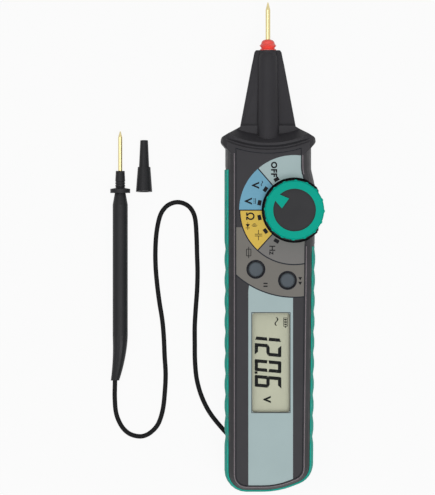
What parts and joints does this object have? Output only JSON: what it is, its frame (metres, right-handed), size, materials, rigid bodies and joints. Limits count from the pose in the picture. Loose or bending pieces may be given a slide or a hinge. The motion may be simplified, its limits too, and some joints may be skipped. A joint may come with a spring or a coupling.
{
  "type": "pen-type digital multimeter",
  "caption": "Pen-type digital multimeter: needle nose, finger guard, side dial, two buttons, display, scalloped grip, and one test lead with its probe and cap.",
  "frame": {"origin": "on the plane of the back face, at the middle of the height of the guard and the foot, under the axis of the needle", "axes": "+Z out of the front panel, +Y along the case towards the needle, +X to the right seen from the front"},
  "size_m": [0.0832, 0.19, 0.031],
  "materials": {
    "case": "fine matt black",
    "grip": "matt teal rubber",
    "panel": "printed satin sheet",
    "lens": "clear polished",
    "display": "reflective liquid crystal",
    "white_plastic": "moulded",
    "contact_rubber": "soft",
    "board": "solder mask",
    "dark_part": "resin",
    "amber_part": "coated",
    "blue_part": "lacquered",
    "steel": "plain",
    "brass": "plain",
    "gilt_brass": "polished, gold plated",
    "red_plastic": "satin",
    "dial_teal": "satin",
    "dial_dark": "fine matt",
    "button": "soft matt",
    "lead_rubber": "smooth",
    "probe_plastic": "satin"
  },
  "bodies": {
    "housing": {"front_case": "case", "back_case": "case", "side_grip": "grip", "front_panel": "panel", "window_lens": "lens", "lcd_glass": "display", "lcd_holder": "white_plastic", "zebra_strips": "contact_rubber", "main_board": "board", "meter_chip": "dark_part", "crystal": "steel", "input_protector": "amber_part", "input_resistors": "blue_part", "buzzer": "brass", "key_domes": "steel", "tip_needle": "gilt_brass", "tip_collar": "red_plastic", "tip_terminal": "brass", "battery_cells": "steel", "battery_contacts": "brass", "case_screws": "steel", "lead_gland": "lead_rubber", "lead_cord": "lead_rubber", "probe_boot": "probe_plastic", "probe_handle": "probe_plastic", "probe_needle": "gilt_brass"},
    "dial": {"dial_ring": "dial_teal", "dial_cap": "dial_dark", "switch_rotor": "white_plastic", "wiper_contacts": "brass", "detent_balls": "steel", "detent_springs": "steel"},
    "select_key": {"select_button": "button"},
    "hold_key": {"hold_button": "button"},
    "battery_door": {"battery_cover": "case", "cell_bridge": "brass", "cover_screw": "steel"},
    "loose_cap": {"probe_cap": "probe_plastic"}
  },
  "joints": [
    {"name": "dial_turn", "type": "hinge", "parent": "housing", "child": "dial", "pos_m": [0.01, 0.041, 0.024], "axis": [0, 0, 1], "range_deg": [-24, 96]},
    {"name": "select_press", "type": "slide", "parent": "housing", "child": "select_key", "axis": [0, 0, -1], "range_m": [0, 0.0008], "stiffness_N_per_m": 1000, "springref_m": -0.0006},
    {"name": "hold_press", "type": "slide", "parent": "housing", "child": "hold_key", "axis": [0, 0, -1], "range_m": [0, 0.0008], "stiffness_N_per_m": 1000, "springref_m": -0.0006},
    {"name": "battery_cover_off", "type": "slide", "parent": "housing", "child": "battery_door", "axis": [0, 0, -1], "range_m": [0, 0.012]},
    {"name": "probe_cap_off", "type": "slide", "parent": "housing", "child": "loose_cap", "axis": [0, 1, 0], "range_m": [0, 0.03]}
  ]
}
